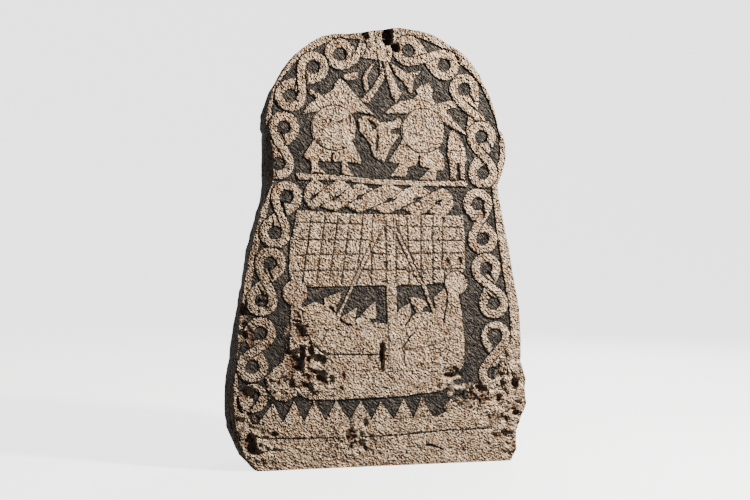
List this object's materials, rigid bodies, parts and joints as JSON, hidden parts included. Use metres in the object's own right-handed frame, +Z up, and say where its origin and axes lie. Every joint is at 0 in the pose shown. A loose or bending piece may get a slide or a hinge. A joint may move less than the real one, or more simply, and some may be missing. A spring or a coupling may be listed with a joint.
{
  "type": "picture stone",
  "caption": "Upright carved limestone slab with a mushroom outline: knotwork border, warriors and a sailing ship in low relief over a plain foot.",
  "frame": {"origin": "in the flat underside, at the middle of the slab's thickness and about the middle of its width", "axes": "+Z up the slab, +X to the right of someone who looks at the carved face, +Y into the slab, so the carved face looks along -Y"},
  "size_m": [0.8664, 0.1973, 1.2379],
  "materials": {
    "limestone": "weathered pinkish buff limestone, finely pitted and matt, with a charcoal brown paint in the cut ground and in the incised lines"
  },
  "bodies": {
    "root": {"picture_stone": "limestone"}
  },
  "joints": []
}
